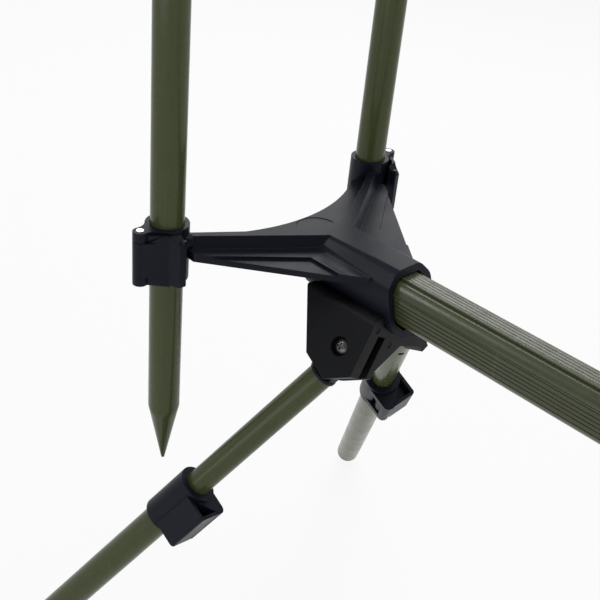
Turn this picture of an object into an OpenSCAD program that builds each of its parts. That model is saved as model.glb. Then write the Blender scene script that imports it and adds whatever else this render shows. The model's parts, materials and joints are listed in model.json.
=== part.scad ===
// Free-standing rod pod: a ribbed pole between two Y-shaped hubs, each with two clamped uprights
// and two folding telescopic legs, and a bar for rod rests across each pair of uprights.
// The origin is on the ground under the middle of the pole, +X along the pole, +Z up.

/* [Pod] */
// Distance between the front and the rear uprights
pod_length = 1000; // [960:10:1300]
// Distance between the two uprights of one end, centre to centre
upright_spacing = 164; // [156:2:190]

/* [Pole] */
// Width of the pole over its flat sides
pole_w = 27.2; // [25:0.2:30]
// Height of the pole over its flat top and bottom
pole_h = 29; // [27:0.5:32]
// Size of the pole's corner chamfers
pole_chamfer = 5.8; // [5:0.2:6.6]
// Wall thickness of the pole
pole_wall = 2; // [1.6:0.1:3]
// Depth of the grooves along the pole
groove_depth = 0.5; // [0.3:0.1:0.7]

/* [Hub] */
// Wall of the hub's socket round the pole
socket_wall = 4.4; // [3.5:0.1:5.5]
// Distance from the uprights' plane to the top edge of the socket's mouth
socket_mouth = 105; // [98:1:115]
// Thickness of the hub's flat web
web_t = 5.3; // [4:0.1:7]
// Height of the raised ridge above the web
ridge_h = 6.5; // [4:0.5:7]
// Width of the ridge's flat top where it leaves the collar
ridge_w = 4.2; // [3:0.2:5]

/* [Clamps] */
// Outer radius of the collars
collar_r = 12.35; // [12:0.05:13.5]
// Height of the hubs' collars
hub_collar_h = 33.5; // [33.5:0.5:38]
// Height of the leg locks' collars
collar_h = 35.5; // [34:0.5:40]
// Distance from a hub collar's axis to its lever's hinge pin
hub_pin_offset = 18.1; // [17.6:0.1:19]
// Distance from a leg lock's axis to its lever's hinge pin
lock_pin_offset = 19.6; // [19:0.1:20]
// Radius of the levers' hinge pins
lever_pin_r = 2.1; // [1.6:0.1:2.4]
// Radius of the hinge knuckles
knuckle_r = 4.2; // [3.8:0.1:4.5]
// Wall thickness of the levers
lever_wall = 2.3; // [2:0.1:3]
// How far the front left lever stands open, in degrees
lever_ajar = 7; // [0:1:12]

/* [Uprights] */
// Outside diameter of the uprights
upright_d = 19; // [18:0.5:19.5]
// Wall thickness of all tubes
tube_wall = 1.2; // [1:0.1:1.6]
// Length of the point at the foot of an upright
point_l = 42.5; // [30:0.5:60]
// Height of an upright's point below the top of its collar
point_drop = 167; // [150:1:180]
// Height of the rod bar's centre above the top of the collars
bar_rise = 245; // [180:5:300]

/* [Rod bar] */
// Length of the bar's tube
bar_l = 300; // [260:5:360]
// Outside diameter of the bar's tube
bar_d = 19; // [18:0.5:20]
// Distance from the bar's end to its outer rod rest thread
rest_inset = 25; // [22:1:50]
// Bore radius of the rod rest threads
rest_bore_r = 4; // [3:0.1:4.5]

/* [Legs] */
// Sideways splay of the legs from vertical
leg_splay = 28; // [25:1:30]
// Lengthways lean of the legs away from the middle of the pod
leg_lean = 25; // [20:1:28]
// Outside diameter of the upper leg tubes
upper_d = 16; // [15:0.5:16]
// Outside diameter of the lower leg tubes
lower_d = 19; // [18.8:0.1:20]
// Distance from the pivot to the top of the lock on the right legs
right_lock_at = 136; // [120:1:140]
// Distance from the pivot to the top of the lock on the left legs, which are pushed further in
left_lock_at = 114; // [110:1:140]
// Distance from the pivot to the small hole in the upper tube
tube_hole_at = 56; // [50:1:80]
// Distance from the pivot to the lower end of the upper tube
upper_end = 236; // [230:1:240]
// Distance from the pivot to the centre of the foot's dome
leg_reach = 350; // [345:1:400]

/* [Leg bracket] */
// Thickness of the bracket's slotted boxes
box_t = 21.1; // [20:0.1:23]
// Outer wall of a box beside the slot
box_wall = 9.05; // [8:0.05:11]
// Width of the slot
slot_w = 6.8; // [5:0.1:7.4]
// Height of the slot's top above the pivot
slot_top = 14.1; // [13:0.1:16]
// Radius of the pivot screws
pivot_r = 2.5; // [2:0.1:3]

/* [Hidden] */
$fn = 64;
END_NAMES = ["front", "rear"];
SIDE_NAMES = ["right", "left"];
FRAME_NODES = ["main_pole", "front_hub", "rear_hub", "front_leg_bracket", "rear_leg_bracket", "bracket_bolts",
    "bracket_nuts", "pivot_screws", "clamp_pins"];
POST_NODES = ["right_upright", "left_upright", "rod_bar", "bar_sockets", "bar_caps", "rest_inserts"];
CORNER_NODES = ["clamp_lever", "leg_joint", "upper_tube", "guide_bush", "lower_tube", "lock_collar", "lock_lever",
    "lock_pin", "foot"];

olive = [0.29, 0.33, 0.19];
plastic = [0.13, 0.14, 0.16];
steel = [0.75, 0.76, 0.77];
rubber = [0.08, 0.08, 0.08];

// Clearances: a sliding or turning fit, a fixed fit, and free space between moving pieces
fit_gap = 0.08;
seat_gap = 0.05;
free_gap = 0.4;
// Overrun of a cutting shape past the face that it opens
past = 1;

// Heights are measured from the top of the collars, which is the hub's own zero
web_top = -12;
ridge_top = web_top + ridge_h;
socket_half_w = pole_w / 2 + socket_wall;
socket_half_h = pole_h / 2 + socket_wall;
socket_chamfer = pole_chamfer + socket_wall * (2 - sqrt(2));
pole_z = ridge_top - socket_half_h;
socket_bottom = pole_z - socket_half_h;
socket_back = 46;
pole_seat = socket_back + socket_wall;
mouth_slant = 15;

// The pivots of the legs, in the hub's frame
box_front = socket_mouth + 3.3;
pivot_x = box_front - 14.5;
pivot_rise = 20.8;
slot_offset = box_wall + slot_w / 2;
box_top_y = socket_half_w + 8.1;
box_top_z = pole_z - 6.2;
pivot_y = box_top_y + pivot_rise * sin(leg_splay) - slot_offset * cos(leg_splay);
pivot_z = box_top_z - pivot_rise * cos(leg_splay) - slot_offset * sin(leg_splay);

foot_r = lower_d / 2;
leg_drop = leg_reach * cos(leg_lean) * cos(leg_splay);
hub_z = leg_drop - pivot_z + foot_r;

upright_r = upright_d / 2;
upper_r = upper_d / 2;
lower_r = lower_d / 2;
bar_r = bar_d / 2;
rest_pitch = bar_l / 2 - rest_inset;

// Depths below the collar's top
knuckle_h = 5.8;
lever_knuckle_end = 26.9;
lower_knuckle_end = 32.6;
lock_rim_h = 2.9;
cam_r = 5.6;
// The two kinds of clamp: distance of the hinge pin, depth of the fixed knuckle's top, radius of the gripped
// tube, radius of the hollow between collar and knuckle, where 0 is a straight side, and height of the collar
hub_clamp = [hub_pin_offset, 0, upright_r, 8, hub_collar_h];
leg_clamp = [lock_pin_offset, lock_rim_h, upper_r, 0, collar_h];
function cam_throw(clamp) = clamp[0] - clamp[2] - cam_r - 0.3;
function pin_top(clamp) = clamp[1] > 0 ? clamp[1] + 1.5 : -0.4;

// An octagon of the given size with equal corner chamfers, round its own middle
function octagon(w, h, c) = [[w/2 - c, h/2], [w/2, h/2 - c], [w/2, c - h/2], [w/2 - c, -h/2],
    [c - w/2, -h/2], [-w/2, c - h/2], [-w/2, h/2 - c], [c - w/2, h/2]];
// The two points where a straight line touches the right-hand side of two circles, going from a to b
function tangent_side(a, ra, b, rb) =
    let (run = b - a, span = norm(run), turn = atan2(run[1], run[0]) - acos((ra - rb) / span))
    [a + ra * [cos(turn), sin(turn)], b + rb * [cos(turn), sin(turn)]];
// Points along a circular arc
function arc(centre, r, from, to, steps) =
    [for (i = [0:steps]) let (a = from + (to - from) * i / steps) centre + r * [cos(a), sin(a)]];

// Extrudes a shape drawn in Y and Z along X
module along_x(from, to) {
    translate([from, 0, 0]) rotate([90, 0, 90]) linear_extrude(to - from) children();
}
module mirrored_pair() {
    children();
    mirror([0, 1, 0]) children();
}
// Places one end of the pod: 0 is the front, 1 the rear
module at_end(end) {
    rotate([0, 0, 180 * end]) translate([-pod_length / 2, 0, hub_z]) children();
}
// Places a right-hand piece on either side; the sides of the rear end swap as the hub turns round
module at_side(end, side) {
    at_end(end) mirror([0, end == side ? 0 : 1, 0]) children();
}
// The pivot's frame: X forward, Y outward, Z down the box
module at_box() {
    translate([pivot_x, -pivot_y, pivot_z]) rotate([-leg_splay, 0, 0]) rotate([180, 0, 0]) children();
}
// The leg's frame: the box's frame turned by the lean, with Z down the leg
module at_leg() {
    translate([pivot_x, -pivot_y, pivot_z]) rotate([-leg_splay, 0, 0]) rotate([0, leg_lean, 0])
        rotate([180, 0, 0]) children();
}
// The clamp's frame on a collar: X towards the hinge pin, Y towards the lever, Z up
module at_collar() {
    translate([0, -upright_spacing / 2, 0]) rotate([0, 0, -90]) children();
}
// The same frame on a leg, with the lever facing forward and outward
lock_turn = -37;
lock_at = [right_lock_at, left_lock_at];
module at_lock(side) {
    translate([0, 0, lock_at[side]]) rotate([0, 0, lock_turn]) mirror([0, 0, 1]) children();
}

// Pole

// A row of shallow grooves across one face, drawn along X at Y = 0
module groove_row(width, count, cut) {
    pitch = width / count;
    for (i = [0:count - 1])
        translate([(i + 0.5) * pitch - width / 2, 0]) square([cut, 2 * groove_depth], center = true);
}
module pole_section() {
    top_flat = pole_w - 2 * pole_chamfer;
    side_flat = pole_h - 2 * pole_chamfer;
    difference() {
        polygon(octagon(pole_w, pole_h, pole_chamfer));
        for (turn = [0, 180]) rotate(turn) {
            translate([0, pole_h / 2]) groove_row(top_flat - 2.4, 8, 0.8);
            for (s = [-1, 1]) translate([s * (top_flat / 2 - 0.2), pole_h / 2])
                square([0.8, 2.4 * groove_depth], center = true);
            translate([pole_w / 2, 0]) rotate(90) groove_row(side_flat - 2, 6, 0.9);
            for (s = [-1, 1]) translate([pole_w / 2, s * (side_flat / 2 - 0.2)])
                square([2.4 * groove_depth, 0.8], center = true);
        }
    }
}
module main_pole() {
    half = pod_length / 2 - pole_seat;
    bore_chamfer = pole_chamfer - pole_wall * (2 - sqrt(2));
    color(olive) difference() {
        translate([0, 0, hub_z + pole_z]) along_x(-half, half) difference() {
            pole_section();
            polygon(octagon(pole_w - 2 * pole_wall, pole_h - 2 * pole_wall, bore_chamfer));
        }
        for (end = [0, 1]) at_end(end) bolt_holes();
    }
}

// Clamp: the collar with its two fixed knuckles, and the lever between them

// The flat strip that joins two circles along their common tangents
module tangent_strip(r1, r2, distance) {
    a = acos((r1 - r2) / distance);
    polygon([r1 * [cos(a), sin(a)], [distance, 0] + r2 * [cos(a), sin(a)],
        [distance, 0] + r2 * [cos(a), -sin(a)], r1 * [cos(a), -sin(a)]]);
}
// The strip that joins two circles with a hollow of the given radius on each side
module hollow_strip(r1, r2, distance, hollow) {
    reach_1 = r1 + hollow;
    reach_2 = r2 + hollow;
    x = (distance * distance + reach_1 * reach_1 - reach_2 * reach_2) / (2 * distance);
    y = sqrt(reach_1 * reach_1 - x * x);
    edge = arc([x, y], hollow + 0.05, 180 + atan2(y, x), 360 - atan2(y, distance - x), 8);
    polygon(concat(edge, [for (i = [8:-1:0]) [edge[i][0], -edge[i][1]]]));
}
// Extrudes an outline between two depths below the collar's top
module between(from, to) {
    translate([0, 0, -to]) linear_extrude(to - from) children();
}
module knuckle_outline(clamp, grow) {
    circle(collar_r + grow);
    translate([clamp[0], 0]) circle(knuckle_r + grow);
    if (clamp[3] > 0) hollow_strip(collar_r + grow, knuckle_r + grow, clamp[0], clamp[3] - grow);
    else tangent_strip(collar_r + grow, knuckle_r + grow, clamp[0]);
}
module collar_solid(clamp) {
    between(0, clamp[4]) circle(collar_r);
    between(clamp[1], clamp[1] + knuckle_h) knuckle_outline(clamp, 0);
    between(lever_knuckle_end + 0.1, lower_knuckle_end) knuckle_outline(clamp, 0);
}
module collar_cuts(clamp) {
    hole_top = clamp[1] > 0 ? pin_top(clamp) - 0.05 : -past;
    translate([clamp[0], 0, 0]) {
        between(clamp[1] + knuckle_h, lever_knuckle_end + 0.1) circle(cam_r + cam_throw(clamp) + 0.5);
        between(hole_top, collar_h + past) circle(lever_pin_r + seat_gap);
    }
}
module lever_pin(clamp) {
    translate([clamp[0], 0, 0]) between(pin_top(clamp), lower_knuckle_end) circle(lever_pin_r);
}
// A convex outline through rounded corners: circles of the given radii joined by their tangents
module rounded_outline(corners, radii) {
    last = len(corners) - 1;
    for (i = [0:last]) translate(corners[i]) circle(radii[i]);
    polygon([for (i = [0:last]) each
        tangent_side(corners[i], radii[i], corners[(i + 1) % (last + 1)], radii[(i + 1) % (last + 1)])]);
}
// A lever: its knuckle and cam on the pin, and its body cleared from the fixed knuckles
module lever_on(clamp) {
    top = clamp[1] + knuckle_h + 0.2;
    difference() {
        union() {
            difference() {
                children();
                between(-past, collar_h + past) circle(collar_r + free_gap);
                between(-past, top - 0.1) knuckle_outline(clamp, free_gap);
                between(lever_knuckle_end, collar_h + past) knuckle_outline(clamp, free_gap);
            }
            translate([clamp[0], 0, 0]) between(top, lever_knuckle_end) circle(knuckle_r);
            translate([clamp[0] - cam_throw(clamp), 0, 0]) between(top + 2, lever_knuckle_end - 2) circle(cam_r);
        }
        translate([clamp[0], 0, 0]) between(0, collar_h) circle(lever_pin_r + fit_gap);
    }
}
// The hub's lever is a plate across the collar's corner that flares out to a finger grip
plate_sum = (collar_r + lever_wall) * sqrt(2);
plate_top = 1.5;
plate_end = 32.4;
module hub_lever() {
    bend = [7.6, plate_sum - 7.6];
    lever_on(hub_clamp) {
        between(plate_top, plate_end) polygon([[plate_sum - 3, 3], bend, [6.2, 10.6], [12, 3.6], [14.5, 1.2]]);
        between(knuckle_h + 0.2, lever_knuckle_end)
            polygon([[20.35, 3.8], [12.2, 8.5], [10, 6], [14.5, 1.2], [hub_pin_offset, 0]]);
        difference() {
            between(plate_top + 0.1, plate_end - 1) {
                rounded_outline([[7, 12.4], [4.6, 17.8], [1.4, 17.9], [1, 12]], [0.7, 0.9, 0.9, 0.5]);
                polygon(concat(arc(bend + [5.22, 3.27], 6.04, 229, 200, 5), [[5, 17], [5, 13]]));
            }
            translate([-10, bend[1] - 1, -plate_top]) rotate([-38, 0, 0]) cube([40, 20, 20]);
        }
        between(3.4, 8) translate([2.1, 17.2]) circle(1.5);
    }
}
// The leg lock's lever is an open box: one wall on the knuckle's side, one touching the collar's tangent
lock_box_turn = asin((collar_r - knuckle_r) / lock_pin_offset);
module lock_lever_body() {
    pin = lock_pin_offset * [cos(lock_box_turn), -sin(lock_box_turn)];
    wall_r = knuckle_r - 0.2;
    corner = [pin[0] + wall_r - 2.5, collar_r - 2.5];
    outer = [pin, corner, [5.2, collar_r - 1.25]];
    rotate([0, 0, lock_box_turn]) {
        between(lock_rim_h, 33) difference() {
            rounded_outline(outer, [wall_r, 2.5, 1.25]);
            rounded_outline([pin, corner, [0, collar_r - lever_wall - 0.5]],
                [wall_r - lever_wall, 2.5 - lever_wall, 0.5]);
        }
        between(lock_rim_h + 7.4, lock_rim_h + 9.4) rounded_outline(outer, [wall_r, 2.5, 1.25]);
    }
}

// Hub

arm_y = upright_spacing / 2;
// The back of the web is an arc between the two collars
back_apex_x = 22.3;
back_end = [1.5, arm_y - 17.4];
back_sag = back_apex_x - back_end[0];
back_r = (back_end[1] * back_end[1] + back_sag * back_sag) / (2 * back_sag);
back_angle = asin(back_end[1] / back_r);
// The web's front edge runs straight from beside the lever to the socket
front_start = [19, collar_r * 0.28 - arm_y];
front_end = [socket_mouth - 11, -socket_half_w];
// The top of an arm's ridge: its front edge is straight from the collar to the socket, its back edge runs
// straight from the collar and then bends round the hub's middle
ridge_front = [[5.9, -arm_y - 2.5], [55.6, -8.5]];
ridge_run = (ridge_front[1] - ridge_front[0]) / norm(ridge_front[1] - ridge_front[0]);
ridge_side = [ridge_run[1], -ridge_run[0]];
ridge_back = [ridge_front[0] - ridge_w * ridge_side, [38.5, -24]];
ridge_turn = atan2(ridge_back[1][0] - ridge_back[0][0], ridge_back[1][1] - ridge_back[0][1]);
ridge_bend_r = 40;
ridge_slope = 2.8 * ridge_side;

module web_outline() {
    neck = [collar_r * 0.94, collar_r * 0.3 - arm_y];
    polygon(concat([front_end, front_start, neck, [0, -arm_y]],
        arc([back_apex_x - back_r, 0], back_r, -back_angle, back_angle, 32),
        [[0, arm_y], [neck[0], -neck[1]], [front_start[0], -front_start[1]], [front_end[0], -front_end[1]]]));
}
// One arm's ridge: a narrow flat top with a sloping front
module arm_ridge() {
    hull() {
        translate([0, 0, ridge_top - 0.2]) linear_extrude(0.2)
            polygon([ridge_front[0], ridge_front[1], ridge_back[1], ridge_back[0]]);
        translate([0, 0, web_top - past]) linear_extrude(past)
            polygon([ridge_front[0] + ridge_slope, ridge_front[1] + ridge_slope, ridge_back[1], ridge_back[0]]);
    }
    // A rounded boss where the ridge runs up to its collar
    translate(concat(ridge_front[0] - ridge_w / 3 * ridge_side, ridge_top - 4))
        rotate([0, 90, atan2(ridge_run[1], ridge_run[0])]) cylinder(r = 4.6, h = 12.3);
}
// The raised middle that joins both ridges to the socket's flat top
module centre_ridge() {
    bend = arc(ridge_back[1] - ridge_bend_r * [cos(ridge_turn), -sin(ridge_turn)], ridge_bend_r, -ridge_turn, 0, 8);
    front = ridge_front[1];
    translate([0, 0, web_top - past]) linear_extrude(ridge_h + past)
        polygon(concat(bend, [for (i = [8:-1:0]) [bend[i][0], -bend[i][1]]], [[front[0], -front[1]], front]));
}
module socket_solid() {
    difference() {
        along_x(socket_back, socket_mouth + 14) translate([0, pole_z])
            polygon(octagon(2 * socket_half_w, 2 * socket_half_h, socket_chamfer));
        translate([socket_mouth, -2 * socket_half_w, ridge_top]) rotate([0, -mouth_slant, 0])
            translate([0, 0, -3 * socket_half_h]) cube([2 * socket_half_w, 4 * socket_half_w, 4 * socket_half_h]);
    }
}
// The sunk triangular panel on the web in front of each ridge
panel_depth = 1.6;
module web_panel() {
    corner = [0.628 * front_end[0], -socket_half_w - 10.4];
    translate([0, 0, web_top - panel_depth]) linear_extrude(panel_depth + past)
        polygon([[front_start[0] + 3.2, front_start[1] + 0.4], corner, [front_end[0] - 9.8, corner[1] + 0.1],
            [front_end[0], corner[1] - 6], [40, -arm_y], [front_start[0], front_start[1] - 4]]);
}
module bolt_holes() {
    for (x = bolt_xs) translate([x, 0, socket_bottom - 14]) cylinder(r = bolt_r + 0.3, h = 14 + socket_wall + 4);
}
module hub() {
    color(plastic) difference() {
        union() {
            difference() {
                translate([0, 0, web_top - web_t]) linear_extrude(web_t) web_outline();
                translate([back_apex_x + 13.4, 0, web_top - 0.4]) cylinder(r = 12.8, h = past);
            }
            mirrored_pair() {
                at_collar() collar_solid(hub_clamp);
                arm_ridge();
            }
            centre_ridge();
            socket_solid();
        }
        mirrored_pair() {
            at_collar() collar_cuts(hub_clamp);
            translate([0, -arm_y, -collar_h - past]) cylinder(r = upright_r + fit_gap, h = collar_h + 2 * past);
            web_panel();
        }
        along_x(pole_seat, socket_mouth + 20) translate([0, pole_z])
            polygon(octagon(pole_w + 2 * seat_gap, pole_h + 2 * seat_gap, pole_chamfer));
        bolt_holes();
    }
}

// Leg bracket

bolt_r = 2.5;
bolt_head_r = 4.5;
bolt_xs = [socket_mouth - 35, socket_mouth - 12];
core_bottom = socket_bottom - 12.4;
tongue_r = 8;
shoulder_at = 21.5;
slot_back = tongue_r + 0.3;
slot_reach = 2.4 * box_t;

// One box: the cheek's outline in the box's frame through the box's thickness, rounded over at the outer top edge
box_top = pivot_rise + 3.3;
box_edge_r = 5;
module bracket_box() {
    intersection() {
        rotate([90, 0, 0]) translate([0, 0, -slot_offset]) linear_extrude(box_t)
            polygon([[-37.4, pivot_rise], [-14.5 - 3.6, -13.1], [-0.9, -20.6], [14.5, -11.4], [14.5, box_top],
                [-35.5, box_top]]);
        along_x(-2 * box_t, box_t) {
            polygon([[-box_t, -2 * box_t], [slot_offset, -2 * box_t], [slot_offset, box_top - box_edge_r],
                [slot_offset - box_edge_r, box_top], [-box_t, box_top]]);
            translate([slot_offset - box_edge_r, box_top - box_edge_r]) circle(box_edge_r);
        }
    }
}
// The room that the tongue needs from the working stop to the folded position
module slot_room() {
    back = [-cos(leg_lean), sin(leg_lean)] * slot_back;
    down = [-sin(leg_lean), -cos(leg_lean)] * slot_reach;
    translate([0, slot_w / 2, 0]) rotate([90, 0, 0]) linear_extrude(slot_w) {
        circle(tongue_r + 0.6);
        polygon([back, back + down, [slot_reach, -slot_reach], [slot_reach, slot_top], [-2, slot_top]]);
    }
}
module bracket_core() {
    intersection() {
        along_x(box_front - 48, box_front) polygon([[-socket_half_w, pole_z - 6], [-pivot_y, pivot_z - 10],
            [-pivot_y, core_bottom - 11], [0, core_bottom], [pivot_y, core_bottom - 11], [pivot_y, pivot_z - 10],
            [socket_half_w, pole_z - 6]]);
        rotate([90, 0, 0]) linear_extrude(4 * box_top_y, center = true)
            polygon([[box_front - 46, pole_z], [box_front - 44, socket_bottom - 4], [box_front - 32, pivot_z - 10],
                [box_front - 15, pivot_z - 17], [box_front, pivot_z - 10], [box_front, pole_z]]);
    }
}
module leg_bracket() {
    color(plastic) difference() {
        union() {
            mirrored_pair() at_box() mirror([0, 0, 1]) bracket_box();
            bracket_core();
        }
        along_x(0, socket_mouth + 30) translate([0, pole_z])
            polygon(octagon(2 * socket_half_w, 2 * socket_half_h, socket_chamfer));
        mirrored_pair() at_box() {
            mirror([0, 0, 1]) {
                slot_room();
                // Two round marks left by the mould's pins
                for (at = [[6.7, 17.6], [-10.7, 10.4]]) translate([14.5 - 0.3, at[0], at[1]]) rotate([0, 90, 0])
                    cylinder(r = 1.8, h = past);
            }
            rotate([90, 0, 0]) {
                cylinder(r = pivot_r + seat_gap, h = 2 * screw_depth, center = true);
                translate([0, 0, -slot_offset - past]) cylinder(r = 5.6, h = head_sink + past);
            }
        }
        bolt_holes();
        for (x = bolt_xs) translate([x, 0, core_bottom - 20]) cylinder(r = bolt_head_r + 0.5, h = 20 + head_sink);
    }
}

// Fasteners

head_sink = 3.6;
screw_head_r = 4.6;
screw_depth = slot_w / 2 + 9;
module pivot_screw() {
    seat = slot_offset - head_sink;
    at_box() rotate([90, 0, 0]) difference() {
        union() {
            translate([0, 0, -seat]) cylinder(r = pivot_r, h = seat + screw_depth - 0.5);
            intersection() {
                translate([0, 0, -seat - 2.8]) cylinder(r = screw_head_r, h = 2.8);
                translate([0, 0, -seat - 2.8 + 6.6]) sphere(r = 6.6);
            }
        }
        for (turn = [0, 90]) rotate(turn) translate([0, 0, -seat - 2.8]) cube([4.6, 1.1, 3], center = true);
    }
}
module pivot_screws() {
    color(steel) for (end = [0, 1]) for (side = [0, 1]) at_side(end, side) pivot_screw();
}
module clamp_pins() {
    color(steel) for (end = [0, 1]) for (side = [0, 1]) at_side(end, side) at_collar() lever_pin(hub_clamp);
}
bolt_top = pole_z - pole_h / 2 + pole_wall + 6;
bolt_seat = core_bottom + head_sink;
module bracket_bolts() {
    color(steel) for (end = [0, 1]) at_end(end) for (x = bolt_xs) translate([x, 0, 0]) difference() {
        union() {
            translate([0, 0, bolt_seat]) cylinder(r = bolt_r, h = bolt_top - bolt_seat);
            translate([0, 0, bolt_seat - 3]) cylinder(r = bolt_head_r, h = 3);
        }
        translate([0, 0, bolt_seat - 3.5]) cylinder(r = 2.3, h = 2.5, $fn = 6);
    }
}
module bracket_nuts() {
    nut_z = pole_z - pole_h / 2 + pole_wall;
    color(steel) for (end = [0, 1]) at_end(end) for (x = bolt_xs) translate([x, 0, nut_z]) difference() {
        cylinder(r = 4.6, h = 4, $fn = 6);
        translate([0, 0, -past]) cylinder(r = bolt_r + seat_gap, h = 4 + 2 * past);
    }
}

// Uprights and rod bar

socket_grip = 22;
module upright() {
    top = bar_rise - bar_r - 1;
    cone_z = point_l - point_drop;
    color(olive) translate([0, -arm_y, 0]) rotate_extrude()
        polygon([[0, -point_drop], [1, -point_drop], [upright_r, cone_z], [upright_r, top],
            [upright_r - tube_wall, top], [upright_r - tube_wall, cone_z + 4], [0, cone_z + 4]]);
}
module rod_bar() {
    color(olive) translate([0, 0, bar_rise]) rotate([90, 0, 0]) difference() {
        cylinder(r = bar_r, h = bar_l, center = true);
        cylinder(r = bar_r - tube_wall, h = bar_l + 2 * past, center = true);
        for (i = [-1:1]) translate([0, 0, i * rest_pitch]) rotate([-90, 0, 0])
            translate([0, 0, -2 * bar_r]) cylinder(r = insert_r + seat_gap, h = 4 * bar_r);
    }
}
// T-shaped sockets: a sleeve round the bar and one down over the upright
module bar_sockets() {
    outer = bar_r + 3;
    color(plastic) translate([0, 0, bar_rise]) mirrored_pair() translate([0, -arm_y, 0]) difference() {
        union() {
            rotate([90, 0, 0]) cylinder(r = outer, h = 34, center = true);
            translate([0, 0, -bar_r - socket_grip]) cylinder(r = upright_r + 3, h = bar_r + socket_grip);
        }
        rotate([90, 0, 0]) cylinder(r = bar_r + seat_gap, h = 40, center = true);
        translate([0, 0, -bar_r - socket_grip - past]) cylinder(r = upright_r + seat_gap, h = bar_r + socket_grip);
    }
}
module bar_caps() {
    color(rubber) translate([0, 0, bar_rise]) mirrored_pair() translate([0, -bar_l / 2, 0]) rotate([90, 0, 0])
        rotate_extrude() polygon([[0, -8], [bar_r - tube_wall - seat_gap, -8], [bar_r - tube_wall - seat_gap, 0],
            [bar_r, 0], [bar_r, 2], [bar_r - 1.5, 3.5], [0, 3.5]]);
}
insert_r = 6.5;
insert_flange_r = 8;
// Threaded collars for the rod rests: a flanged bush right through the bar
module rest_inserts() {
    color(steel) translate([0, 0, bar_rise]) for (i = [-1:1]) translate([0, i * rest_pitch, 0]) difference() {
        union() {
            translate([0, 0, -bar_r - 1]) cylinder(r = insert_r, h = 2 * bar_r + 1);
            translate([0, 0, bar_r]) cylinder(r = insert_flange_r, h = 3);
        }
        translate([0, 0, -bar_r - 1 - past]) cylinder(r = rest_bore_r, h = 2 * bar_r + 4 + 2 * past);
    }
}

// Legs, drawn in the leg's frame with the pivot at zero and Z down the leg

joint_top = shoulder_at + 2.2;
joint_r = upper_r + 0.9;
tongue_t = slot_w - 0.5;
module leg_joint() {
    plug_r = upper_r - tube_wall - seat_gap;
    color(plastic) at_leg() difference() {
        union() {
            rotate([90, 0, 0]) cylinder(r = tongue_r, h = tongue_t, center = true);
            translate([-tongue_r, -tongue_t / 2, 0]) cube([2 * tongue_r, tongue_t, shoulder_at + 1]);
            rotate_extrude() polygon([[0, shoulder_at], [joint_r - 0.6, shoulder_at], [joint_r, shoulder_at + 0.6],
                [joint_r, joint_top], [plug_r, joint_top], [plug_r, joint_top + 24], [0, joint_top + 24]]);
        }
        rotate([90, 0, 0]) cylinder(r = pivot_r + fit_gap, h = 2 * slot_w, center = true);
    }
}
module tube(r, from, to) {
    translate([0, 0, from]) difference() {
        cylinder(r = r, h = to - from);
        translate([0, 0, -past]) cylinder(r = r - tube_wall, h = to - from + 2 * past);
    }
}
module upper_tube() {
    color(olive) at_leg() difference() {
        tube(upper_r, joint_top, upper_end);
        translate([0, 0, tube_hole_at]) rotate([0, 90, 0]) cylinder(r = 2, h = upper_d);
    }
}
lower_bore_r = lower_r - tube_wall;
module guide_bush() {
    color(rubber) at_leg() rotate_extrude() polygon([[upper_r - 3.5, upper_end - 12],
        [upper_r - tube_wall - seat_gap, upper_end - 12], [upper_r - tube_wall - seat_gap, upper_end],
        [lower_bore_r - fit_gap, upper_end], [lower_bore_r - fit_gap, upper_end + 6],
        [lower_bore_r - 1, upper_end + 7], [upper_r - 3.5, upper_end + 7]]);
}
tube_in_lock = 9;
module lower_tube(side) {
    color(olive) at_leg() tube(lower_r, lock_at[side] + collar_h - tube_in_lock, leg_reach - 1);
}
module lock_collar(side) {
    color(plastic) at_leg() at_lock(side) difference() {
        collar_solid(leg_clamp);
        collar_cuts(leg_clamp);
        translate([0, 0, -collar_h - past]) {
            cylinder(r = upper_r + fit_gap, h = collar_h + 2 * past);
            cylinder(r = lower_r + seat_gap, h = tube_in_lock + past);
        }
    }
}
module lock_pin(side) {
    color(steel) at_leg() at_lock(side) lever_pin(leg_clamp);
}
module lock_lever(side) {
    color(plastic) at_leg() at_lock(side) lever_on(leg_clamp) lock_lever_body();
}
foot_plug_l = 13;
module foot() {
    plug_r = lower_bore_r - seat_gap;
    plug_top = leg_reach - 1 - foot_plug_l;
    color(rubber) at_leg() rotate_extrude() polygon(concat([[0, plug_top], [plug_r, plug_top],
        [plug_r, leg_reach - 1], [foot_r, leg_reach - 1]],
        arc([0, leg_reach], foot_r, 0, 90, 16)));
}
// The front left lever stands a little open
module clamp_lever(end, side) {
    ajar = end == 0 && side == 1 ? lever_ajar : 0;
    color(plastic) at_collar() translate([hub_pin_offset, 0, 0]) rotate([0, 0, -ajar])
        translate([-hub_pin_offset, 0, 0]) hub_lever();
}

main_pole();
at_end(0) hub();  // front_hub
at_end(1) hub();  // rear_hub
at_end(0) leg_bracket();  // front_leg_bracket
at_end(1) leg_bracket();  // rear_leg_bracket
bracket_bolts();
bracket_nuts();
pivot_screws();
clamp_pins();
for (end = [0, 1]) {
    post = str(END_NAMES[end], "_");
    at_side(end, 0) upright();
    at_side(end, 1) upright();
    at_end(end) rod_bar();
    at_end(end) bar_sockets();
    at_end(end) bar_caps();
    at_end(end) rest_inserts();
    for (side = [0, 1]) at_side(end, side) {
        corner = str(END_NAMES[end], "_", SIDE_NAMES[side], "_");
        clamp_lever(end, side);
        leg_joint();
        upper_tube();
        guide_bush();
        lower_tube(side);
        lock_collar(side);
        lock_lever(side);
        lock_pin(side);
        foot();
    }
}
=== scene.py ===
"""Looks of the rod pod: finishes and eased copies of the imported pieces, a studio and the camera."""

import json
import logging
import math
from dataclasses import dataclass, field
from enum import Enum
from typing import Callable, Optional, Sequence

import bmesh
import bpy
from mathutils import Matrix, Vector

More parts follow.
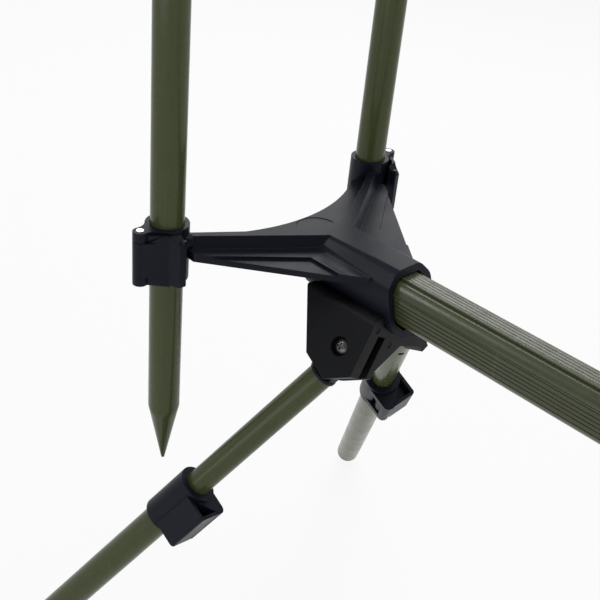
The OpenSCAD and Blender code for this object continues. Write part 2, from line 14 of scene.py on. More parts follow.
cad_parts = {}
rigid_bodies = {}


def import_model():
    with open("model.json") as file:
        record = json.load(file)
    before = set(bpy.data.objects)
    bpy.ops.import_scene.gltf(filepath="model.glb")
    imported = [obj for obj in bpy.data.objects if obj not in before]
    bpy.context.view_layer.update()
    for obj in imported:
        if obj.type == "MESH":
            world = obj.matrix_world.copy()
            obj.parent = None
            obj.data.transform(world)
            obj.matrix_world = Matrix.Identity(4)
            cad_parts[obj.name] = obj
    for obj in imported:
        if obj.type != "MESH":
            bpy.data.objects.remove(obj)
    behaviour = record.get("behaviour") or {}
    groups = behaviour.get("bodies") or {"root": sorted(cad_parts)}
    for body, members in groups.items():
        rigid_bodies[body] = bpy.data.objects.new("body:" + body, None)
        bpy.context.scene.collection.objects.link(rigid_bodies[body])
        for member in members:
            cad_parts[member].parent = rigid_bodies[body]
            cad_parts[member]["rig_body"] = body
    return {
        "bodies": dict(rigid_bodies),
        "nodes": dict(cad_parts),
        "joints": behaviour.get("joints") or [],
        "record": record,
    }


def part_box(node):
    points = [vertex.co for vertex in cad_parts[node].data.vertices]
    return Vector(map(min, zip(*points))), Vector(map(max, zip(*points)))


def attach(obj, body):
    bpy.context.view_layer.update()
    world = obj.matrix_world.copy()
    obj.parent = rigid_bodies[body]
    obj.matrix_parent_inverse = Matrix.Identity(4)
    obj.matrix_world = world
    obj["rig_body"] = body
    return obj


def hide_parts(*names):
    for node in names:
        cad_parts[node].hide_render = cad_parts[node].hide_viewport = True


log = logging.getLogger("rod_pod")

ENDS = ("front", "rear")
SIDES = ("right", "left")
MM = 0.001
Colour = tuple[float, float, float]
Point = tuple[float, float, float]


class Slot(Enum):
    """The record's material slots."""

    OLIVE_POLE = "olive_pole"
    OLIVE_TUBE = "olive_tube"
    CHARCOAL_PLASTIC = "charcoal_plastic"
    BRACKET_PLASTIC = "bracket_plastic"
    BLACK_NYLON = "black_nylon"
    BLACK_RUBBER = "black_rubber"
    BRIGHT_STEEL = "bright_steel"
    INSERT_BRASS = "insert_brass"


@dataclass(frozen=True)
class Layer:
    """Fractal noise: features per metre, octaves and strength of the finer octaves."""

    scale: float
    detail: float = 2.0
    rough: float = 0.5


@dataclass(frozen=True)
class Span:
    """A range of a value, and what its two ends become."""

    low: float
    high: float
    to_low: float = 0.0
    to_high: float = 1.0


def paler(colour: Colour, times: float) -> Colour:
    """A colour made brighter.

    Args:
        colour: The colour.
        times: How many times as bright.

    Returns:
        The new colour, with no channel over 1.
    """
    return tuple(min(1.0, channel * times) for channel in colour)


class NodeGraph:
    """A material's node tree, with short calls to add and join its nodes."""

    def __init__(self, name: str) -> None:
        """Starts an empty material.

        Args:
            name: The material's name.
        """
        self.material = bpy.data.materials.new(name)
        self.material.use_nodes = True
        self.tree = self.material.node_tree
        self.tree.nodes.clear()
        self.output = self.tree.nodes.new("ShaderNodeOutputMaterial")

    def add(self, kind: str, props: Optional[dict] = None, **inputs: object) -> bpy.types.Node:
        """Adds a node.

        Args:
            kind: The node's type, without the ShaderNode prefix.
            props: Attributes of the node itself.
            **inputs: Socket values or output sockets, by socket name with underscores for spaces.

        Returns:
            The new node.
        """
        node = self.tree.nodes.new("ShaderNode" + kind)
        for key, value in (props or {}).items():
            setattr(node, key, value)
        for key, value in inputs.items():
            self.feed(node.inputs[key.replace("_", " ")], value)
        return node

    def feed(self, socket: bpy.types.NodeSocket, value: object) -> None:
        """Gives a socket a constant or links an output to it.

        Args:
            socket: The socket to feed.
            value: A number, a sequence or an output socket.
        """
        if isinstance(value, bpy.types.NodeSocket):
            self.tree.links.new(value, socket)
        elif socket.type == "RGBA" and len(value) == 3:
            socket.default_value = (*value, 1.0)
        else:
            socket.default_value = value

    def place(self, scale: Sequence[float] = (1, 1, 1),
              turn: Sequence[float] = (0, 0, 0)) -> bpy.types.NodeSocket:
        """Coordinates fixed to the piece, in metres.

        Args:
            scale: Stretch along each axis.
            turn: Euler angles in radians.

        Returns:
            The vector output.
        """
        where = self.add("TexCoord").outputs["Object"]
        return self.add("Mapping", Vector=where, Scale=scale, Rotation=turn).outputs["Vector"]

    def noise(self, where: bpy.types.NodeSocket, layer: Layer) -> bpy.types.NodeSocket:
        """Fractal noise.

        Args:
            where: The coordinates.
            layer: Its size and strength.

        Returns:
            The factor output.
        """
        node = self.add("TexNoise", Vector=where, Scale=layer.scale, Detail=layer.detail,
                        Roughness=layer.rough)
        return node.outputs["Fac"]

    def spread(self, value: bpy.types.NodeSocket, span: Span) -> bpy.types.NodeSocket:
        """Maps a range of a value onto another, clamped.

        Args:
            value: The value.
            span: The range taken and what it becomes.

        Returns:
            The mapped output.
        """
        node = self.add("MapRange", Value=value, From_Min=span.low, From_Max=span.high,
                        To_Min=span.to_low, To_Max=span.to_high)
        return node.outputs["Result"]

    def blend(self, amount: object, first: object, second: object) -> bpy.types.NodeSocket:
        """Mixes two colours.

        Args:
            amount: The share of the second colour.
            first: Colour or output at 0.
            second: Colour or output at 1.

        Returns:
            The colour output.
        """
        node = self.tree.nodes.new("ShaderNodeMix")
        node.data_type = "RGBA"
        self.feed(node.inputs[0], amount)
        self.feed(node.inputs[6], first)
        self.feed(node.inputs[7], second)
        return node.outputs[2]

    def bump(self, height: bpy.types.NodeSocket, distance: float, strength: float,
             under: Optional[bpy.types.NodeSocket] = None) -> bpy.types.NodeSocket:
        """Bump from a height.

        Args:
            height: The height output.
            distance: Its depth in metres.
            strength: Share of the bump used.
            under: A normal that the bump lies on.

        Returns:
            The normal output.
        """
        node = self.add("Bump", Height=height, Distance=distance, Strength=strength)
        if under is not None:
            self.tree.links.new(under, node.inputs["Normal"])
        return node.outputs["Normal"]

    def finish(self, shader: bpy.types.Node) -> bpy.types.Material:
        """Joins the shader to the output and returns the material."""
        self.tree.links.new(shader.outputs[0], self.output.inputs["Surface"])
        return self.material


@dataclass(frozen=True)
class OliveEnamel:
    """Olive paint on drawn aluminium: fine lines along it, soft mottling and a few pale rubs."""

    name: str
    colour: Colour
    dusty: Colour
    roughness: float
    coat: float
    gloss: float
    line_turn: Point = (0.0, 0.0, 0.0)
    line_depth: float = 4e-6
    line_stretch: float = 0.01
    peel_depth: float = 1.2e-5
    coat_roughness: float = 0.12
    lines: Layer = Layer(1500.0, 3.0, 0.6)
    cloud: Layer = Layer(26.0, 4.0, 0.6)
    speck: Layer = Layer(900.0, 1.0)
    rub: Layer = Layer(420.0, 2.0, 0.7)
    sheen: Layer = Layer(60.0, 5.0, 0.65)
    peel: Layer = Layer(260.0, 1.0)
    cloud_share: Span = Span(0.35, 0.7, 0.0, 0.55)
    line_share: Span = Span(0.3, 0.75, 0.0, 0.25)
    speck_share: Span = Span(0.74, 0.80, 0.0, 0.6)
    rub_share: Span = Span(0.66, 0.78, 0.0, 0.5)

    def material(self) -> bpy.types.Material:
        """Builds the paint. Returns: the material."""
        g = NodeGraph(self.name)
        along = g.place(scale=(1.0, 1.0, self.line_stretch), turn=self.line_turn)
        around = g.place()
        lines = g.noise(along, self.lines)
        cloud = g.noise(around, self.cloud)
        rub = g.noise(along, self.rub)
        base = g.blend(g.spread(cloud, self.cloud_share), self.colour, self.dusty)
        base = g.blend(g.spread(lines, self.line_share), base, self.dusty)
        base = g.blend(g.spread(g.noise(around, self.speck), self.speck_share), base, self.dusty)
        base = g.blend(g.spread(rub, self.rub_share), base, paler(self.dusty, 1.5))
        sheen = Span(0.3, 0.75, self.roughness - 0.05, self.roughness + 0.12)
        rough = g.spread(g.noise(around, self.sheen), sheen)
        peel = g.bump(g.noise(around, self.peel), self.peel_depth, 0.35)
        normal = g.bump(lines, self.line_depth, 0.8, peel)
        return g.finish(g.add("BsdfPrincipled", Base_Color=base, Roughness=rough, Normal=normal,
                              Specular_IOR_Level=self.gloss, Coat_Weight=self.coat,
                              Coat_Roughness=self.coat_roughness))


@dataclass(frozen=True)
class MouldedPlastic:
    """Glass-filled nylon: spark-eroded grain, faint flow marks and convex edges painted paler, as
    edge wear and as a painted edge highlight.
    """

    name: str
    colour: Colour
    pale: Colour
    roughness: float
    grain: float
    grain_depth: float
    gloss: float = 0.3
    flow_stretch: Point = (1.0, 0.35, 1.6)
    scuff_stretch: Point = (1.0, 0.12, 1.0)
    scuff_turn: Point = (0.3, 0.5, 0.8)
    flow: Layer = Layer(34.0, 4.0, 0.62)
    scuff: Layer = Layer(240.0, 3.0, 0.7)
    flow_share: Span = Span(0.35, 0.7, 0.0, 0.4)
    grain_share: Span = Span(0.45, 0.8, 0.0, 0.35)
    scuff_share: Span = Span(0.64, 0.8, 0.0, 0.45)
    # How far convex edges are painted paler: edge wear and a painted edge highlight.
    edge_highlight_share: Span = Span(0.51, 0.58, 0.0, 0.55)

    def material(self) -> bpy.types.Material:
        """Builds the plastic. Returns: the material."""
        g = NodeGraph(self.name)
        grain = g.noise(g.place(), Layer(self.grain, 2.0, 0.55))
        flow = g.noise(g.place(scale=self.flow_stretch), self.flow)
        scuff = g.noise(g.place(scale=self.scuff_stretch, turn=self.scuff_turn), self.scuff)
        # Pointiness finds the convex edges, which get a painted edge highlight that also stands for
        # edge wear.
        edge = g.add("NewGeometry").outputs["Pointiness"]
        base = g.blend(g.spread(flow, self.flow_share), self.colour, self.pale)
        base = g.blend(g.spread(grain, self.grain_share), base, self.pale)
        base = g.blend(g.spread(scuff, self.scuff_share), base, paler(self.pale, 1.6))
        # Painted edge highlight: convex edges mixed towards a paler colour, together with their wear.
        base = g.blend(g.spread(edge, self.edge_highlight_share), base, paler(self.pale, 1.8))
        rough = g.spread(flow, Span(0.3, 0.75, self.roughness - 0.06, self.roughness + 0.08))
        normal = g.bump(grain, self.grain_depth, 0.7)
        return g.finish(g.add("BsdfPrincipled", Base_Color=base, Roughness=rough, Normal=normal,
                              Specular_IOR_Level=self.gloss))


@dataclass(frozen=True)
class TurnedMetal:
    """Plated or bare metal with fine machining marks and dull patches."""

    name: str
    colour: Colour
    dull: Colour
    roughness: float
    marks: float
    mark_stretch: Point = (0.2, 0.2, 1.0)
    mark_depth: float = 6e-6
    patch: Layer = Layer(300.0, 4.0, 0.6)
    patch_share: Span = Span(0.4, 0.72, 0.0, 0.6)

    def material(self) -> bpy.types.Material:
        """Builds the metal. Returns: the material."""
        g = NodeGraph(self.name)
        turning = g.noise(g.place(scale=self.mark_stretch), Layer(self.marks, 3.0, 0.6))
        patch = g.noise(g.place(), self.patch)
        base = g.blend(g.spread(patch, self.patch_share), self.colour, self.dull)
        rough = g.spread(patch, Span(0.3, 0.7, self.roughness, self.roughness + 0.15))
        normal = g.bump(turning, self.mark_depth, 0.5)
        return g.finish(g.add("BsdfPrincipled", Base_Color=base, Roughness=rough, Normal=normal,
                              Metallic=1.0))


@dataclass(frozen=True)
class SoftRubber:
    """Matt rubber with a dry bloom and fine pitting."""

    name: str
    colour: Colour
    bloom: Colour
    roughness: float
    gloss: float = 0.3
    pit_depth: float = 2e-5
    blooming: Layer = Layer(70.0, 5.0, 0.65)
    pits: Layer = Layer(1400.0)
    bloom_share: Span = Span(0.4, 0.75, 0.0, 0.6)

    def material(self) -> bpy.types.Material:
        """Builds the rubber. Returns: the material."""
        g = NodeGraph(self.name)
        where = g.place()
        bloom = g.noise(where, self.blooming)
        base = g.blend(g.spread(bloom, self.bloom_share), self.colour, self.bloom)
        rough = g.spread(bloom, Span(0.3, 0.7, self.roughness - 0.08, self.roughness + 0.08))
        normal = g.bump(g.noise(where, self.pits), self.pit_depth, 0.6)
        return g.finish(g.add("BsdfPrincipled", Base_Color=base, Roughness=rough, Normal=normal,
                              Specular_IOR_Level=self.gloss))


ALONG_X = (0.0, math.pi / 2, 0.0)
FINISHES = {
    Slot.OLIVE_POLE: OliveEnamel(
        "olive pole paint", colour=(0.048, 0.058, 0.020), dusty=(0.062, 0.073, 0.032),
        roughness=0.33, coat=0.15, gloss=0.38, line_turn=ALONG_X),
    Slot.OLIVE_TUBE: OliveEnamel(
        "olive tube paint", colour=(0.063, 0.078, 0.026), dusty=(0.074, 0.090, 0.036),
        roughness=0.24, coat=0.25, gloss=0.12),
    Slot.CHARCOAL_PLASTIC: MouldedPlastic(
        "charcoal moulding", colour=(0.0056, 0.0070, 0.0128), pale=(0.0084, 0.0100, 0.0172),
        roughness=0.38, grain=2600.0, grain_depth=1.2e-5, gloss=0.12),
    Slot.BRACKET_PLASTIC: MouldedPlastic(
        "black moulding", colour=(0.0060, 0.0064, 0.0076), pale=(0.009, 0.0095, 0.011),
        roughness=0.45, grain=1900.0, grain_depth=2.2e-5, gloss=0.08),
    Slot.BLACK_NYLON: MouldedPlastic(
        "nylon bush", colour=(0.012, 0.012, 0.012), pale=(0.02, 0.02, 0.02),
        roughness=0.4, grain=3000.0, grain_depth=6e-6),
    Slot.BLACK_RUBBER: SoftRubber(
        "foot rubber", colour=(0.012, 0.012, 0.012), bloom=(0.028, 0.028, 0.027), roughness=0.72),
    Slot.BRIGHT_STEEL: TurnedMetal(
        "nickel-plated steel", colour=(0.74, 0.74, 0.72), dull=(0.5, 0.5, 0.49),
        roughness=0.18, marks=1200.0),
    Slot.INSERT_BRASS: TurnedMetal(
        "turned brass", colour=(0.70, 0.50, 0.22), dull=(0.42, 0.30, 0.14),
        roughness=0.24, marks=1500.0),
}
# Dark steel for the pivot screws: its colour is also darkened to paint the shade of their recesses
# and the dark reflections on their heads.
SHADE_DARKENED_STEEL = TurnedMetal("steel darkened for painted shade", colour=(0.14, 0.14, 0.14), dull=(0.06, 0.06, 0.065),
                          roughness=0.26, marks=1300.0)


def round_edges(bm: bmesh.types.BMesh, edges: Sequence[bmesh.types.BMEdge], width: float,
                segments: int) -> None:
    """Rounds edges of a mesh.

    Args:
        bm: The mesh.
        edges: The edges.
        width: Width of the rounding in metres.
        segments: Faces across it.
    """
    bmesh.ops.bevel(bm, geom=edges, offset=width, offset_type="OFFSET", segments=segments,
                    profile=0.5, affect="EDGES", clamp_overlap=False, loop_slide=True)


@dataclass
class Workshop:
    """What every sub-assembly needs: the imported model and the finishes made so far."""

    frame: dict
    made: dict = field(default_factory=dict)
    merge: float = 0.1 * MM
    flat: float = 0.6
    shading: float = 34.0
    eased: float = 20.0
    segments: int = 2

    def finish(self, slot: Slot) -> bpy.types.Material:
        """The material of a slot, made once. Returns: the material."""
        if slot not in self.made:
            self.made[slot] = FINISHES[slot].material()
        return self.made[slot]

    def body_of(self, node: str) -> str:
        """The body that a node belongs to. Returns: its name."""
        return self.frame["nodes"][node]["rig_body"]

    def new_piece(self, name: str, bm: bmesh.types.BMesh, sharp: float) -> bpy.types.Object:
        """Turns a finished bmesh into a smooth-shaded object.

        Args:
            name: The object's name.
            bm: The mesh, which is freed.
            sharp: Edges sharper than this many degrees stay sharp.

        Returns:
            The object.
        """
        for face in bm.faces:
            face.smooth = True
        mesh = bpy.data.meshes.new(name)
        bm.to_mesh(mesh)
        bm.free()
        mesh.set_sharp_from_angle(angle=math.radians(sharp))
        piece = bpy.data.objects.new(name, mesh)
        bpy.context.scene.collection.objects.link(piece)
        return piece

    def place(self, piece: bpy.types.Object, slot: Slot, node: str,
              finish: Optional[bpy.types.Material] = None) -> None:
        """Puts a piece on a node's body in that node's stead.

        Args:
            piece: The piece.
            slot: The slot whose finish it takes.
            node: The node that it stands for.
            finish: A finish other than the slot's own.
        """
        piece.data.materials.clear()
        piece.data.materials.append(finish or self.finish(slot))
        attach(piece, self.body_of(node))
        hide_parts(node)
        log.info("%s stands for %s", piece.name, node)

    def ease(self, node: str, slot: Slot, width: float,
             reshape: Optional[Callable[[bmesh.types.BMesh], None]] = None,
             finish: Optional[bpy.types.Material] = None) -> None:
        """Replaces a node by a copy with rounded edges.

        Args:
            node: The node's name.
            slot: The slot whose finish the copy takes.
            width: Width of the rounding in metres.
            reshape: A step that changes the copy before its edges are rounded.
            finish: A finish other than the slot's own.
        """
        bm = bmesh.new()
        bm.from_mesh(self.frame["nodes"][node].data)
        bmesh.ops.remove_doubles(bm, verts=bm.verts, dist=self.merge)
        bmesh.ops.dissolve_limit(bm, angle_limit=math.radians(self.flat), verts=bm.verts,
                                 edges=bm.edges)
        if reshape is not None:
            reshape(bm)
        limit = math.radians(self.eased)
        edges = [edge for edge in bm.edges
                 if len(edge.link_faces) == 2 and edge.calc_face_angle(0.0) > limit]
        round_edges(bm, edges, width, self.segments)
        piece = self.new_piece(node + "_eased", bm, self.shading)
        modifier = piece.modifiers.new("weighted_normals", "WEIGHTED_NORMAL")
        modifier.keep_sharp = True
        self.place(piece, slot, node, finish)


@dataclass
class MainPole:
    """The drawn pole: rounded corners between four raised panels with fine grooves along them."""

    shop: Workshop
    half_w: float = 13.6 * MM
    half_h: float = 13.7 * MM
    lift: float = 0.4 * MM
    top_panel: float = 5.85 * MM
    side_panel: float = 6.7 * MM
    step: float = 1.3 * MM
    ledge: float = 1.1 * MM
    shelf_end: float = 8.5 * MM
    corner_bulge: float = 0.8 * MM
    corner_steps: int = 10
    easing: float = 0.12 * MM
    shading: float = 28.0
    wall: float = 2.0 * MM
    groove_w: float = 0.5 * MM
    groove_depth: float = 0.4 * MM
    top_grooves: tuple[float, ...] = (1.2 * MM, 3.6 * MM)
    side_grooves: tuple[float, ...] = (1.13 * MM, 3.4 * MM, 6.15 * MM)

    def panel(self, grooves: Sequence[float], edge: float,
              level: float) -> list[tuple[float, float]]:
        """Half of a raised panel, from its middle to its edge.

        Args:
            grooves: Where its grooves run.
            edge: Half its width.
            level: Distance of its face from the pole's axis.

        Returns:
            Points as distance along the face and distance from the axis.
        """
        points: list[tuple[float, float]] = []
        bottom = level - self.groove_depth
        for middle in grooves:
            points += [(middle - self.groove_w / 2, level), (middle - self.groove_w / 5, bottom),
                       (middle + self.groove_w / 5, bottom), (middle + self.groove_w / 2, level)]
        return points + [(edge - self.easing, level),
                         (edge - 0.3 * self.easing, level - 0.3 * self.easing),
                         (edge, level - self.easing)]

    def corner(self) -> list[tuple[float, float]]:
        """The shelf by the top panel and the rounded corner to the side panel. Returns: points."""
        shelf = self.half_h - self.step
        points = [(self.top_panel, shelf), (self.shelf_end - 2 * self.easing, shelf),
                  (self.shelf_end - self.easing, shelf - self.easing)]
        start = Vector((self.shelf_end, shelf))
        end = Vector((self.half_w - self.ledge, self.side_panel))
        out = Vector((start.y - end.y, end.x - start.x)).normalized()
        for step in range(self.corner_steps + 1):
            share = step / self.corner_steps
            bulge = self.corner_bulge * (1.0 - (2.0 * share - 1.0) ** 2)
            point = start.lerp(end, share) + out * bulge
            points.append((point.x, point.y))
        return points

    def section(self) -> list[tuple[float, float]]:
        """The whole outline. Returns: points across and up, in order."""
        top = self.panel(self.top_grooves, self.top_panel, self.half_h)
        side = [(level, along) for along, level in
                reversed(self.panel(self.side_grooves, self.side_panel, self.half_w))]
        quarter = top + self.corner() + side
        right = quarter + [(x, -y) for x, y in reversed(quarter)]
        return right + [(-x, y) for x, y in reversed(right)]

    def build(self) -> None:
        """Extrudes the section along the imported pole's length."""
        low, high = (Vector(corner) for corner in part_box("main_pole"))
        centre = (low + high) / 2
        wide, tall = (half - self.step - self.wall for half in (self.half_w, self.half_h))
        cut = self.half_w - self.shelf_end
        right = [(wide - cut, tall), (wide, tall - cut), (wide, cut - tall), (wide - cut, -tall)]
        bore = right + [(-x, y) for x, y in reversed(right)]
        bm = bmesh.new()
        rings = []
        for outline in (self.section(), bore):
            ends = [[bm.verts.new((x, centre.y + a, centre.z + self.lift + b)) for a, b in outline]
                    for x in (low.x, high.x)]
            for k in range(len(outline)):
                nxt = (k + 1) % len(outline)
                bm.faces.new((ends[0][k], ends[0][nxt], ends[1][nxt], ends[1][k]))
            rings.append(ends)
        for end in (0, 1):
            edges = []
            for ends in rings:
                loop = ends[end]
                for k, vert in enumerate(loop):
                    edges.append(bm.edges.get((vert, loop[(k + 1) % len(loop)])))
            bmesh.ops.triangle_fill(bm, use_beauty=True, edges=edges)
        bmesh.ops.recalc_face_normals(bm, faces=bm.faces)
        piece = self.shop.new_piece("ribbed_pole", bm, self.shading)
        self.shop.place(piece, Slot.OLIVE_POLE, "main_pole")


@dataclass
class EndHub:
    """One end's hub with its clamps and leg bracket."""

    shop: Workshop
    end: str
    hub_rounding: float = 0.22 * MM
    sleeve_rounding: float = 3.0 * MM
    sleeve_reach: tuple[float, float] = (17.5 * MM, 21.6 * MM)
    sleeve_angle: tuple[float, float] = (20.0, 60.0)
    sleeve_segments: int = 5
    long_edge: float = 12.0 * MM
    straight: float = 0.1 * MM
    bracket_rounding: float = 0.25 * MM

    def round_sleeve(self, bm: bmesh.types.BMesh) -> None:
        """Rounds the long edges of the eight-sided sleeve.

        Args:
            bm: The hub's mesh.
        """
        low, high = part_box("main_pole")
        level = (low.z + high.z) / 2
        chosen = []
        for edge in bm.edges:
            if len(edge.link_faces) != 2:
                continue
            run = edge.verts[1].co - edge.verts[0].co
            middle = (edge.verts[0].co + edge.verts[1].co) / 2
            reach = math.hypot(middle.y, middle.z - level)
            bend = math.degrees(edge.calc_face_angle(0.0))
            if (abs(run.x) > self.long_edge and run.yz.length < self.straight
                    and self.sleeve_reach[0] < reach < self.sleeve_reach[1]
                    and self.sleeve_angle[0] < bend < self.sleeve_angle[1]):
                chosen.append(edge)
        round_edges(bm, chosen, self.sleeve_rounding, self.sleeve_segments)

    def build(self) -> None:
        """Eases the mouldings of one end."""
        self.shop.ease(f"{self.end}_hub", Slot.CHARCOAL_PLASTIC, self.hub_rounding,
                       reshape=self.round_sleeve)
        self.shop.ease(f"{self.end}_leg_bracket", Slot.BRACKET_PLASTIC, self.bracket_rounding)


@dataclass
class Fasteners:
    """Bolts, nuts, screws and hinge pins."""

    shop: Workshop
    rounding: float = 0.15 * MM
    bright: tuple[str, ...] = ("bracket_bolts", "bracket_nuts", "clamp_pins")

    def build(self) -> None:
        """Eases the fasteners; the pivot screws get dark steel whose colour also paints the shade of
        their recesses and their dark reflections.
        """
        for node in self.bright:
            self.shop.ease(node, Slot.BRIGHT_STEEL, self.rounding)
        # The pivot screws take the darkened steel, a painted shade of their recesses.
        self.shop.ease("pivot_screws", Slot.BRIGHT_STEEL, self.rounding,
                       finish=SHADE_DARKENED_STEEL.material())


@dataclass
class BarFrame:
    """Two uprights with the rod bar, its sockets, caps and threaded inserts."""

    shop: Workshop
    end: str
    rounding: float = 0.15 * MM

    def build(self) -> None:
        """Eases one bar frame."""
        finishes = {"right_upright": Slot.OLIVE_TUBE, "left_upright": Slot.OLIVE_TUBE,
                    "rod_bar": Slot.OLIVE_TUBE, "bar_sockets": Slot.CHARCOAL_PLASTIC,
                    "bar_caps": Slot.BLACK_RUBBER, "rest_inserts": Slot.INSERT_BRASS}
        for piece, slot in finishes.items():
            self.shop.ease(f"{self.end}_{piece}", slot, self.rounding)


@dataclass
class Corner:
    """A clamp lever, and a telescopic leg with its lock."""

    shop: Workshop
    end: str
    side: str
    lever_rounding: float = 0.2 * MM
    lock_rounding: float = 0.1 * MM
    rounding: float = 0.15 * MM
    hole_from: float = 56.0 * MM
    hole_to: float = 41.0 * MM
    hole_zone: float = 6.0 * MM
    hole_turn: float = 40.0

    def leg_line(self) -> tuple[Vector, Vector]:
        """Where the leg's axis starts, and its way down. Returns: point and unit vector."""
        joints = {joint["name"]: joint for joint in self.shop.frame["joints"]}
        pivot = Vector(joints[f"{self.end}_{self.side}_leg_fold"]["pos_m"])
        return pivot, -Vector(joints[f"{self.end}_{self.side}_leg_length"]["axis"]).normalized()

    def turn_hole(self, bm: bmesh.types.BMesh) -> None:
        """Slides the upper tube's small hole up to the joint and turns it towards the pod's inside.

        Args:
            bm: The upper tube's mesh.
        """
        pivot, down = self.leg_line()
        for vert in bm.verts:
            if abs((vert.co - pivot).dot(down) - self.hole_from) < self.hole_zone:
                vert.co += down * (self.hole_to - self.hole_from)
        inward = (1 if self.side == "right" else -1) * (1 if self.end == "front" else -1)
        turn = Matrix.Rotation(math.radians(-self.hole_turn) * inward, 3, down)
        bmesh.ops.rotate(bm, verts=bm.verts, cent=pivot, matrix=turn)

    def build(self) -> None:
        """Eases one corner's pieces."""
        prefix = f"{self.end}_{self.side}_"
        finishes = {"lower_tube": Slot.OLIVE_TUBE, "leg_joint": Slot.CHARCOAL_PLASTIC,
                    "guide_bush": Slot.BLACK_NYLON, "lock_pin": Slot.BRIGHT_STEEL,
                    "foot": Slot.BLACK_RUBBER}
        for piece, slot in finishes.items():
            self.shop.ease(prefix + piece, slot, self.rounding)
        self.shop.ease(prefix + "upper_tube", Slot.OLIVE_TUBE, self.rounding,
                       reshape=self.turn_hole)
        widths = {"clamp_lever": self.lever_rounding, "lock_lever": self.lock_rounding,
                  "lock_collar": self.lever_rounding}
        for piece, width in widths.items():
            self.shop.ease(prefix + piece, Slot.CHARCOAL_PLASTIC, width)


@dataclass(frozen=True)
class Softbox:
    """A lamp: place from the front hub, size, brightness (1 shows as white) and what it lights."""

    name: str
    offset: Point
    size: tuple[float, float]
    radiance: float
    sheen_only: bool = False


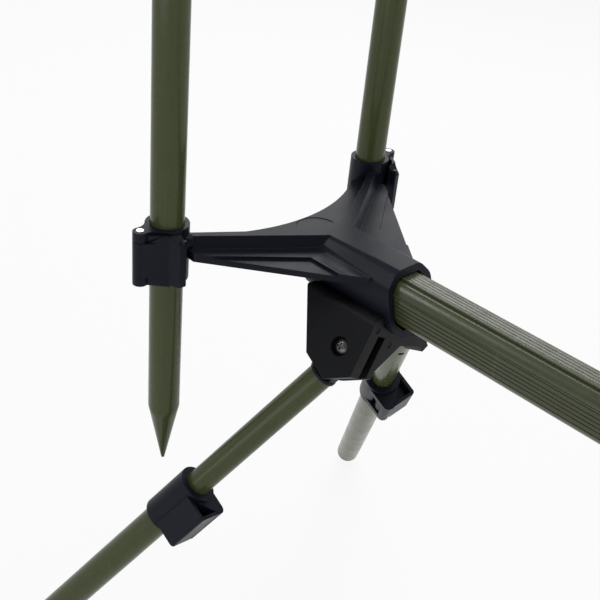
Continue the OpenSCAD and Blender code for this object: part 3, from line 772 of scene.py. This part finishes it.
@dataclass
class Studio:
    """Pale floor, soft lamps and the camera of the photograph."""

    hub: Point = (-0.5, 0.0, 0.344)
    camera_place: Point = (-0.125142, -0.372414, 0.591158)
    azimuth: float = 42.977
    elevation: float = 31.561
    roll: float = 6.007
    lens: float = 58.166
    floor_size: float = 12.0
    floor_drop: float = 0.0005
    floor_grey: float = 0.8
    floor_share: float = 0.9
    fade: tuple[float, float] = (0.06, 0.34)
    horizon: float = 0.955
    overhead: float = 0.3
    softboxes: tuple[Softbox, ...] = (
        Softbox("top_softbox", (0.1, 0.3, 1.5), (1.1, 1.1), 3.0),
        Softbox("back_softbox", (-0.992, 1.248, 0.96), (1.8, 0.6), 4.2),
        Softbox("left_softbox", (-1.001, -0.78, 0.936), (1.0, 0.7), 6.4, True),
        Softbox("low_fill", (0.2, -1.6, -0.15), (1.6, 0.35), 1.5),
    )

    def camera(self) -> None:
        """Sets the camera at the photograph's place."""
        az, el, roll = (math.radians(v) for v in (self.azimuth, self.elevation, self.roll))
        back = Vector((math.sin(az) * math.cos(el), -math.cos(az) * math.cos(el), math.sin(el)))
        right = Vector((math.cos(az), math.sin(az), 0.0))
        up = back.cross(right)
        across = right * math.cos(roll) + up * math.sin(roll)
        upward = up * math.cos(roll) - right * math.sin(roll)
        data = bpy.data.cameras.new("photo_camera")
        data.lens = self.lens
        data.sensor_width = 36.0
        data.clip_start, data.clip_end = 0.01, 50.0
        camera = bpy.data.objects.new("photo_camera", data)
        matrix = Matrix((across, upward, back)).transposed().to_4x4()
        matrix.translation = Vector(self.camera_place)
        camera.matrix_world = matrix
        bpy.context.scene.collection.objects.link(camera)
        bpy.context.scene.camera = camera

    def seen_rays(self, g: NodeGraph) -> bpy.types.NodeSocket:
        """One for camera, glossy and transmission rays. Returns: the output."""
        path = g.add("LightPath")
        first = g.add("Math", {"operation": "MAXIMUM"})
        g.feed(first.inputs[0], path.outputs["Is Camera Ray"])
        g.feed(first.inputs[1], path.outputs["Is Glossy Ray"])
        second = g.add("Math", {"operation": "MAXIMUM"})
        g.feed(second.inputs[0], first.outputs[0])
        g.feed(second.inputs[1], path.outputs["Is Transmission Ray"])
        return second.outputs[0]

    def floor(self) -> None:
        """A wide pale floor under the feet."""
        bm = bmesh.new()
        bmesh.ops.create_grid(bm, x_segments=4, y_segments=4, size=self.floor_size)
        mesh = bpy.data.meshes.new("studio_floor")
        bm.to_mesh(mesh)
        bm.free()
        floor = bpy.data.objects.new("studio_floor", mesh)
        floor.location = (0.0, 0.0, -self.floor_drop)
        bpy.context.scene.collection.objects.link(floor)
        g = NodeGraph("studio floor")
        plain = g.add("BsdfDiffuse", Color=(self.floor_grey,) * 3)
        glow = g.add("Emission", Color=(1.0, 1.0, 1.0), Strength=1.0)
        share = g.add("Math", {"operation": "MULTIPLY"})
        g.feed(share.inputs[0], self.seen_rays(g))
        g.feed(share.inputs[1], self.floor_share)
        mix = g.add("MixShader", Fac=share.outputs[0])
        g.feed(mix.inputs[1], plain.outputs[0])
        g.feed(mix.inputs[2], glow.outputs[0])
        mesh.materials.append(g.finish(mix))

    def world(self) -> None:
        """A surround that is white at the horizon and dimmer overhead."""
        world = bpy.data.worlds.new("studio")
        bpy.context.scene.world = world
        world.use_nodes = True
        tree = world.node_tree
        tree.nodes.clear()
        where = tree.nodes.new("ShaderNodeTexCoord")
        parts = tree.nodes.new("ShaderNodeSeparateXYZ")
        tree.links.new(where.outputs["Generated"], parts.inputs[0])
        strength = tree.nodes.new("ShaderNodeMapRange")
        strength.interpolation_type = "SMOOTHSTEP"
        tree.links.new(parts.outputs["Z"], strength.inputs["Value"])
        ends = {"From Min": self.fade[0], "From Max": self.fade[1],
                "To Min": self.horizon, "To Max": self.overhead}
        for socket, value in ends.items():
            strength.inputs[socket].default_value = value
        background = tree.nodes.new("ShaderNodeBackground")
        background.inputs["Color"].default_value = (1.0, 1.0, 1.0, 1.0)
        tree.links.new(strength.outputs["Result"], background.inputs["Strength"])
        output = tree.nodes.new("ShaderNodeOutputWorld")
        tree.links.new(background.outputs[0], output.inputs["Surface"])

    def lamp(self, box: Softbox) -> None:
        """A softbox that points at the hub and isn't seen itself.

        Args:
            box: Its place, size and brightness.
        """
        data = bpy.data.lights.new(box.name, "AREA")
        data.shape = "RECTANGLE"
        data.size, data.size_y = box.size
        data.energy = box.radiance * math.pi * box.size[0] * box.size[1]
        lamp = bpy.data.objects.new(box.name, data)
        lamp.location = Vector(self.hub) + Vector(box.offset)
        lamp.rotation_euler = (-Vector(box.offset)).to_track_quat("-Z", "Y").to_euler()
        lamp.visible_camera = False
        lamp.visible_diffuse = not box.sheen_only
        bpy.context.scene.collection.objects.link(lamp)

    def build(self) -> None:
        """Sets up the studio."""
        bpy.context.scene.view_settings.view_transform = "Standard"
        self.camera()
        self.floor()
        self.world()
        for box in self.softboxes:
            self.lamp(box)
        log.info("studio ready")


def main() -> None:
    """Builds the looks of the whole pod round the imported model."""
    logging.basicConfig(level=logging.INFO, format="%(name)s: %(message)s")
    shop = Workshop(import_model())
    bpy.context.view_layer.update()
    Studio().build()
    MainPole(shop).build()
    Fasteners(shop).build()
    for end in ENDS:
        EndHub(shop, end).build()
        BarFrame(shop, end).build()
        for side in SIDES:
            Corner(shop, end, side).build()


if __name__ == "__main__":
    main()
